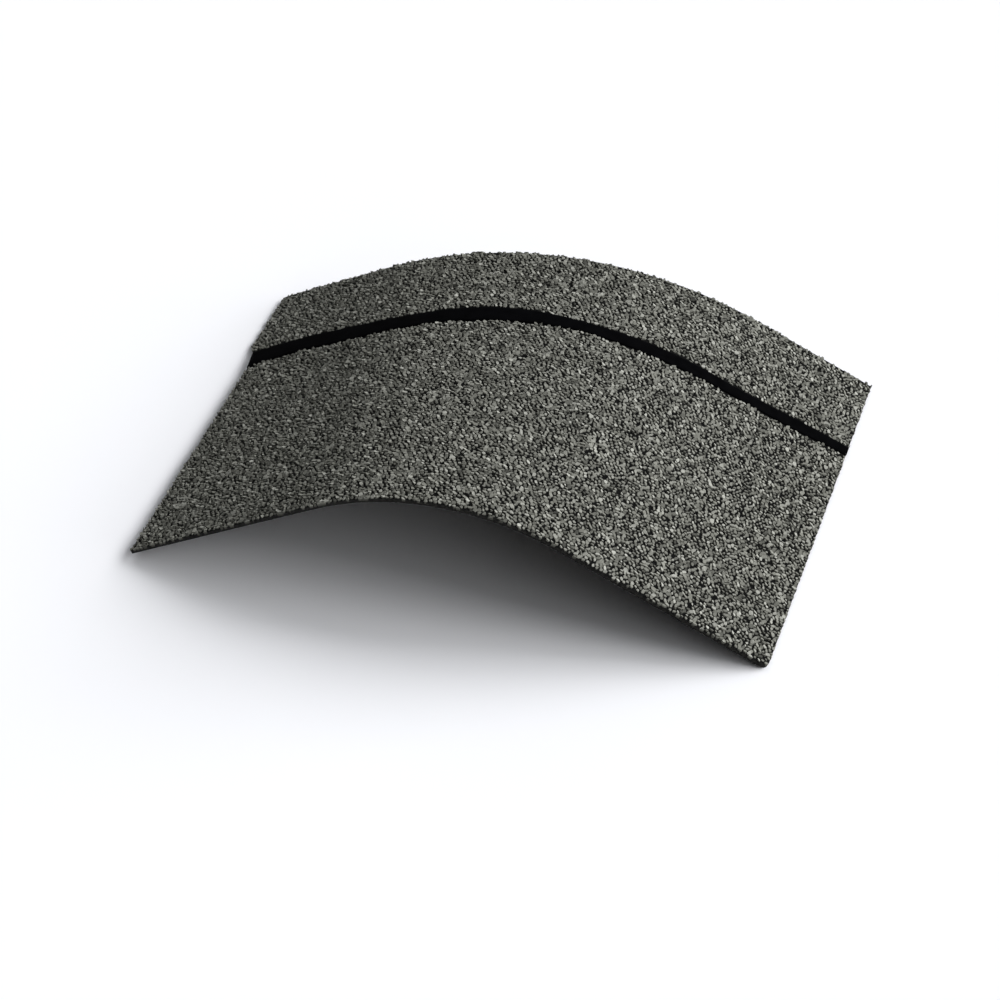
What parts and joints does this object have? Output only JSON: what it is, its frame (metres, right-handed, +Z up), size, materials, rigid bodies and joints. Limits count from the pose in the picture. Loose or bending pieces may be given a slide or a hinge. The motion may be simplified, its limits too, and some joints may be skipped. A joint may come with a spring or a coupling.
{
  "type": "hip and ridge cap shingle",
  "caption": "Pre-bent asphalt cap shingle, granule-faced, with a black sealant strip across it, for covering a roof's hip or ridge.",
  "frame": {"origin": "on the floor plane under the middle of the shingle, below the ridge line", "axes": "+X across the ridge, +Y along the ridge from the exposed end to the covered end, +Z up"},
  "size_m": [0.2876, 0.219, 0.0552],
  "materials": {
    "granule_sheet": "rough mineral granules in asphalt",
    "sealant": "smooth satin asphalt"
  },
  "bodies": {
    "root": {"shingle_sheet": "granule_sheet", "sealant_strip": "sealant"}
  },
  "joints": []
}
